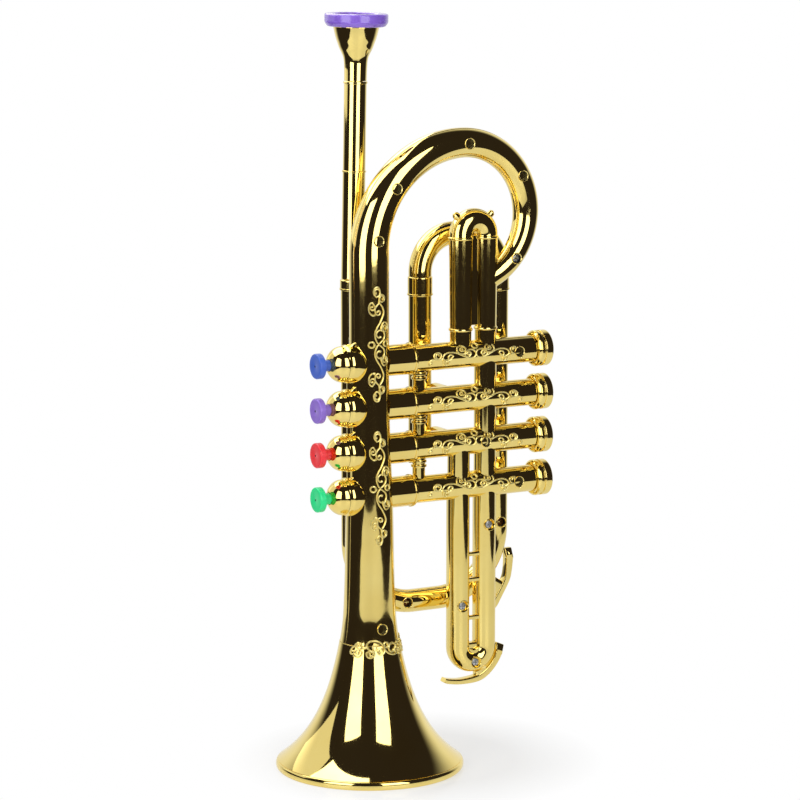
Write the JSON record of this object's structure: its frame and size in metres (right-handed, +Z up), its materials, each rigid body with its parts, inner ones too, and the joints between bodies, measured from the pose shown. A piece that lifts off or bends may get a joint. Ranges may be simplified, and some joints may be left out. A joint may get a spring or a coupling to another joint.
{
  "type": "toy trumpet",
  "caption": "Upright moulded toy trumpet with a flared bell, looped tube, cross valves with coloured sprung keys, slides, a rear tuning bow and a rimmed mouthpiece.",
  "frame": {"origin": "middle of the footprint's bounding box, on the floor plane that the bell's rim stands on", "axes": "+Z up along the bell's axis towards the mouthpiece, -X the side of the keys, +X the side of the valve caps, -Y the near side with the screws, +Y the leadpipe side"},
  "size_m": [0.1592, 0.1004, 0.4],
  "materials": {
    "gold": "vacuum-metallised gold on moulded ABS, mirror-like",
    "blue": "self-coloured ABS, semi-gloss",
    "purple": "self-coloured ABS, semi-gloss",
    "red": "self-coloured ABS, semi-gloss",
    "green": "self-coloured ABS, semi-gloss",
    "brass": "stamped sheet",
    "steel": "zinc-plated"
  },
  "bodies": {
    "trumpet": {"bell_flare": "gold", "bell_tube_far": "gold", "bell_tube_near": "gold", "far_bow_far": "gold", "far_bow_near": "gold", "far_left_tube": "gold", "far_right_tube": "gold", "key_dome_1": "gold", "key_dome_2": "gold", "key_dome_3": "gold", "key_dome_4": "gold", "key_spring_1": "steel", "key_spring_2": "steel", "key_spring_3": "steel", "key_spring_4": "steel", "leadpipe_lower": "gold", "leadpipe_upper": "gold", "lower_slide_far": "gold", "lower_slide_near": "gold", "lower_water_key": "gold", "mouthpiece_cup": "gold", "mouthpiece_rim": "purple", "reed_plate_1": "brass", "reed_plate_2": "brass", "reed_plate_3": "brass", "reed_plate_4": "brass", "screw_01": "steel", "screw_02": "steel", "screw_03": "steel", "screw_04": "steel", "screw_05": "steel", "screw_06": "steel", "screw_07": "steel", "screw_08": "steel", "screw_09": "steel", "screw_10": "steel", "screw_11": "steel", "screw_12": "steel", "screw_13": "steel", "screw_14": "steel", "tuning_bow_far": "gold", "tuning_bow_near": "gold", "tuning_water_key": "gold", "upper_slide_far": "gold", "upper_slide_near": "gold", "valve_block_far": "gold", "valve_block_near": "gold", "valve_cap_1": "gold", "valve_cap_2": "gold", "valve_cap_3": "gold", "valve_cap_4": "gold"},
    "key_blue": {"key_blue": "blue"},
    "key_purple": {"key_purple": "purple"},
    "key_red": {"key_red": "red"},
    "key_green": {"key_green": "green"}
  },
  "joints": [
    {"name": "key_blue_press", "type": "slide", "parent": "trumpet", "child": "key_blue", "axis": [1, 0, 0], "range_m": [0, 0.0031], "stiffness_N_per_m": 250, "springref_m": -0.002, "deforming": ["key_spring_1"]},
    {"name": "key_purple_press", "type": "slide", "parent": "trumpet", "child": "key_purple", "axis": [1, 0, 0], "range_m": [0, 0.0031], "stiffness_N_per_m": 250, "springref_m": -0.002, "deforming": ["key_spring_2"]},
    {"name": "key_red_press", "type": "slide", "parent": "trumpet", "child": "key_red", "axis": [1, 0, 0], "range_m": [0, 0.0031], "stiffness_N_per_m": 250, "springref_m": -0.002, "deforming": ["key_spring_3"]},
    {"name": "key_green_press", "type": "slide", "parent": "trumpet", "child": "key_green", "axis": [1, 0, 0], "range_m": [0, 0.0031], "stiffness_N_per_m": 250, "springref_m": -0.002, "deforming": ["key_spring_4"]}
  ]
}
